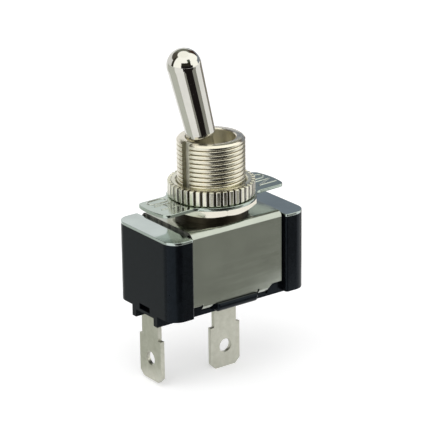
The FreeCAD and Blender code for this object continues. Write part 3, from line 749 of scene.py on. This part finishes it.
def letterStrokes(letter, width, height):
    # centre lines of one letter, as (across, up)
    if letter == "O":
        r = width / 2
        ring = [(r + r * math.cos(t), height - r + r * math.sin(t))
                for t in (math.pi * k / 10 for k in range(11))]
        ring += [(r - r * math.cos(t), r - r * math.sin(t)) for t in (math.pi * k / 10 for k in range(11))]
        return [ring + ring[:1]]
    if letter == "N":
        return [[(0, 0), (0, height)], [(0, height), (width, 0)], [(width, 0), (width, height)]]
    reach, middle = letterSizes["middleBar"]
    return [[(0, 0), (0, height)], [(0, height), (width, height)],
            [(0, height * middle), (width * reach, height * middle)]]


def makeWord(word):
    s = letterSizes
    place = s["words"][word]
    curve = bpy.data.curves.new("word" + word, "CURVE")
    curve.dimensions = "3D"
    curve.bevel_depth = s["stroke"] * mm
    curve.bevel_resolution = 3
    curve.use_fill_caps = True
    for letter, start, width in zip(word, place["starts"], place["widths"]):
        for stroke in letterStrokes(letter, width, s["height"]):
            closed = stroke[0] == stroke[-1]
            points = stroke[:-1] if closed else stroke
            spline = curve.splines.new("POLY")
            spline.points.add(len(points) - 1)
            for point, (across, up) in zip(spline.points, points):
                point.co = ((place["foot"] + up) * mm, (start - across) * mm, 0, 1)
            spline.use_cyclic_u = closed
    line = bpy.data.objects.new("word" + word, curve)
    bpy.context.scene.collection.objects.link(line)
    bpy.context.view_layer.update()
    mesh = bpy.data.meshes.new_from_object(line)
    bpy.data.objects.remove(line)
    flatten = Matrix.Diagonal((1, 1, s["rise"] / s["stroke"], 1))
    onPlate = Matrix.Translation((0, 0, s["plateTop"] * mm + strapTop))
    mesh.transform(Matrix.Rotation(math.radians(s["turn"]), 4, "Z") @ onPlate @ flatten)
    item = bpy.data.objects.new("lettering_" + word.lower(), mesh)
    bpy.context.scene.collection.objects.link(item)
    item.data.shade_smooth()
    paint(item, letterSteel)
    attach(item, "plate")


def makeSpring():
    # the coil shortens towards its top as the plunger is pushed in; here it is a smooth-shaded copy at
    # rest, with a mesh of its own
    spring = mergedCopy("plunger_spring", "spring_coiled")
    smoothUnder(spring, 50)
    standFor(spring, "plunger_spring", "lever", springSteel)
    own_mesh(spring)


def paintHiddenNodes():
    inside = {"insulator_sheet": pressedSheet, "pivot_pin": springSteel, "plunger": turnedBrass,
              "rocker": rolledCopper, "moving_contact": silverRivet, "fixed_contact": silverRivet,
              "rocker_saddle": rolledCopper}
    for node, material in inside.items():
        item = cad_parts[node]
        if not item.material_slots:
            item.data.materials.append(material)
        for place in item.material_slots:
            place.material = material


makeBushing()
print("bushing made")
makeLever()
makeFaceNut()
makeSpring()
print("lever, spring and face nut made")
makeSheetParts()
makeStrap()
for word in letterSizes["words"]:
    makeWord(word)
paintHiddenNodes()
print("sheet parts, case and terminals made")


# the camera and the levels of light
studio = {
    "azimuth": 36.318,
    "elevation": 19.962,
    "roll": -0.644,
    "distance": 0.399176,
    "lens": 192.11,
    "shiftX": -0.01361,
    "shiftY": -0.01209,
    "rightBy": 9.174,       # how far the camera stands right of and above the strap's top, in pixels
    "upBy": 1.257,
    "focalPixels": 2294.67,
    "worldLevel": 0.55,
    "floorGlow": 0.42,
}

# softboxes: azimuth, elevation, distance, width and height, watts
softboxes = {
    "topSoftbox": (40, 62, 0.9, (0.75, 0.75), 2.7),
    "leftSoftbox": (110, 25, 0.7, (0.5, 0.6), 0.9),
    "rightSoftbox": (-70, 25, 0.7, (0.4, 0.6), 0.6),
}

# what the bright metal mirrors round the object: directions in degrees, and the light each gives;
# azimuth 0 is towards -Y and grows towards -X
mirroredCards = {
    "tent": {"azimuths": (-97, 108), "elevations": (-1.5, 66), "distance": 1.3,
             "light": (1.5, 1.5, 1.44)},
    "tentTop": {"azimuths": (-180, 180), "elevations": (58, 90), "distance": 1.35,
                "light": (1.4, 1.4, 1.32)},
    "backShadeLeft": {"azimuths": (108, 181), "elevations": (27, 58), "distance": 1.3,
                      "light": (0.12, 0.11, 0.09)},
    "backShadeRight": {"azimuths": (179, 263), "elevations": (27, 58), "distance": 1.3,
                       "light": (0.24, 0.25, 0.21)},
    "leftColumn": {"azimuths": (108, 126), "elevations": (-1.5, 48), "distance": 1.2,
                   "light": (0.05, 0.045, 0.035)},
    "rightColumn": {"azimuths": (234, 263), "elevations": (-1.5, 48), "distance": 1.2,
                    "light": (0.07, 0.037, 0.028)},
    "viewer": {"azimuths": (-24, 54), "elevations": (-3.2, 12), "distance": 0.6,
               "light": (0.014, 0.012, 0.012)},
    "viewerTop": {"azimuths": (-13, 54), "elevations": (12, 31), "distance": 0.6,
                  "light": (0.03, 0.028, 0.02)},
    "viewerHead": {"azimuths": (-16, 8), "elevations": (30, 50), "distance": 0.6,
                   "light": (0.10, 0.12, 0.09)},
    "blueGrey": {"azimuths": (217.8, 290), "elevations": (10.5, 27), "distance": 0.12,
                 "light": (0.28, 0.31, 0.36)},
}

# the same for cards that lie on the floor, with their outlines in metres
mirroredFloor = {
    "sideGrey": {"outline": ((-0.017, 0.002), (-1.0, 0.14), (-0.3, 1.1), (-0.008, 0.02)),
                 "light": (0.68, 0.70, 0.65)},
    "frontGrey": {"outline": ((-0.006, -0.026), (0.016, -0.029), (0.030, -0.038), (0.06, -0.05),
                              (0.072, -0.076), (0.100, -0.094), (0.30, -0.28), (0.272, -0.535),
                              (-0.30, -0.535), (-0.04, -0.046)),
                  "light": (0.345, 0.345, 0.315)},
    "rightDark": {"outline": ((0.055, 0.004), (0.6, 0.02), (0.45, 0.40), (0.045, 0.04)),
                  "light": (0.30, 0.28, 0.25)},
    "dark": {"outline": ((-0.022, -0.050), (-0.003, -0.050), (0.020, -0.080), (0.036, -0.098),
                         (0.051, -0.145), (0.091, -0.178), (0.272, -0.535), (-0.424, -0.424),
                         (-0.084, -0.093), (-0.054, -0.078), (-0.030, -0.063)),
             "light": (0.016, 0.013, 0.013)},
}


def direction(azimuth, elevation):
    a, e = math.radians(azimuth), math.radians(elevation)
    return Vector((-math.sin(a) * math.cos(e), -math.cos(a) * math.cos(e), math.sin(e)))


def whiteForViewers(tree, seen, lit):
    # one strength for the camera, mirrors and glass, another for the light on surfaces
    rays = tree.nodes.new("ShaderNodeLightPath")
    first = tree.nodes.new("ShaderNodeMath")
    first.operation = "MAXIMUM"
    second = tree.nodes.new("ShaderNodeMath")
    second.operation = "MAXIMUM"
    tree.links.new(rays.outputs["Is Camera Ray"], first.inputs[0])
    tree.links.new(rays.outputs["Is Glossy Ray"], first.inputs[1])
    tree.links.new(first.outputs[0], second.inputs[0])
    tree.links.new(rays.outputs["Is Transmission Ray"], second.inputs[1])
    mapRange = tree.nodes.new("ShaderNodeMapRange")
    mapRange.inputs["To Min"].default_value = lit
    mapRange.inputs["To Max"].default_value = seen
    tree.links.new(second.outputs[0], mapRange.inputs["Value"])
    return mapRange.outputs["Result"]


def makeWorld():
    world = bpy.data.worlds.new("studioWorld")
    bpy.context.scene.world = world
    world.use_nodes = True
    tree = world.node_tree
    background = tree.nodes["Background"]
    background.inputs["Color"].default_value = (1, 1, 1, 1)
    tree.links.new(whiteForViewers(tree, 1.0, studio["worldLevel"]), background.inputs["Strength"])


def makeFloor():
    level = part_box("centre_terminal")[0].z
    floor = boxMesh("floor", (-2, -2, level - 0.01), (2, 2, level))
    material = bpy.data.materials.new("paleFloor")
    material.use_nodes = True
    tree = material.node_tree
    shader = tree.nodes["Principled BSDF"]
    shader.inputs["Base Color"].default_value = (0.8, 0.8, 0.8, 1)
    shader.inputs["Roughness"].default_value = 0.9
    shader.inputs["Specular IOR Level"].default_value = 0.0
    shader.inputs["Emission Color"].default_value = (1, 1, 1, 1)
    tree.links.new(whiteForViewers(tree, studio["floorGlow"], 0.0), shader.inputs["Emission Strength"])
    paint(floor, material)
    return level


def glowingCard(name, vertices, faces, light):
    # a surface that only mirrored rays see, with an even light of its own
    card = meshObject(name, vertices, faces)
    material, tree, shader = nodeMaterial(name + "Glow", 0.0, 0.9, 0.0)
    strength = max(light)
    shader.inputs["Base Color"].default_value = (0, 0, 0, 1)
    shader.inputs["Emission Color"].default_value = (*(part / strength for part in light), 1)
    shader.inputs["Emission Strength"].default_value = strength
    paint(card, material)
    card.visible_camera = False
    card.visible_diffuse = False
    card.visible_shadow = False
    card.visible_transmission = False


def makeFloorCards(level):
    # later cards lie a little higher, so that they cover the earlier ones
    for place, (name, card) in enumerate(mirroredFloor.items(), 1):
        outline = [(x, y, level + 0.2 * mm * place) for x, y in card["outline"]]
        glowingCard(name, outline, [tuple(range(len(outline)))], card["light"])


def makeDomeCards():
    # each card is a part of a sphere round the pivot
    steps = 16
    rows = steps + 1
    faces = [(i * rows + j, (i + 1) * rows + j, (i + 1) * rows + j + 1, i * rows + j + 1)
             for i in range(steps) for j in range(steps)]
    for name, card in mirroredCards.items():
        (a0, a1), (e0, e1), distance = card["azimuths"], card["elevations"], card["distance"]
        vertices = [direction(a0 + (a1 - a0) * i / steps, e0 + (e1 - e0) * j / steps) * distance
                    for i in range(rows) for j in range(rows)]
        glowingCard(name, vertices, faces, card["light"])


def areaLight(name, azimuth, elevation, distance, size, watts):
    data = bpy.data.lights.new(name, "AREA")
    data.shape = "RECTANGLE"
    data.size, data.size_y = size
    data.energy = watts
    lamp = bpy.data.objects.new(name, data)
    back = direction(azimuth, elevation)
    lamp.location = back * distance
    lamp.rotation_euler = back.to_track_quat("Z", "Y").to_euler()
    lamp.visible_glossy = False    # the metal mirrors the cards
    bpy.context.scene.collection.objects.link(lamp)


def makeCamera():
    s = studio
    a, r = math.radians(s["azimuth"]), math.radians(s["roll"])
    back = direction(s["azimuth"], s["elevation"])
    side = Vector((math.cos(a), -math.sin(a), 0))
    up = back.cross(side)
    right = math.cos(r) * side + math.sin(r) * up
    top = -math.sin(r) * side + math.cos(r) * up
    pixel = s["distance"] / s["focalPixels"]
    data = bpy.data.cameras.new("camera")
    data.lens = s["lens"]
    data.sensor_width = 36
    data.shift_x, data.shift_y = s["shiftX"], s["shiftY"]
    data.clip_start, data.clip_end = 0.01, 20
    camera = bpy.data.objects.new("camera", data)
    eye = back * s["distance"] + (right * s["rightBy"] + top * s["upBy"]) * pixel
    pose = Matrix((right, top, back)).transposed().to_4x4()
    camera.matrix_world = Matrix.Translation(eye + Vector((0, 0, strapTop))) @ pose
    bpy.context.scene.collection.objects.link(camera)
    bpy.context.scene.camera = camera


makeWorld()
makeFloorCards(makeFloor())
makeDomeCards()
for name, values in softboxes.items():
    areaLight(name, *values)
makeCamera()
bpy.context.scene.view_settings.view_transform = "Standard"
print("studio made")
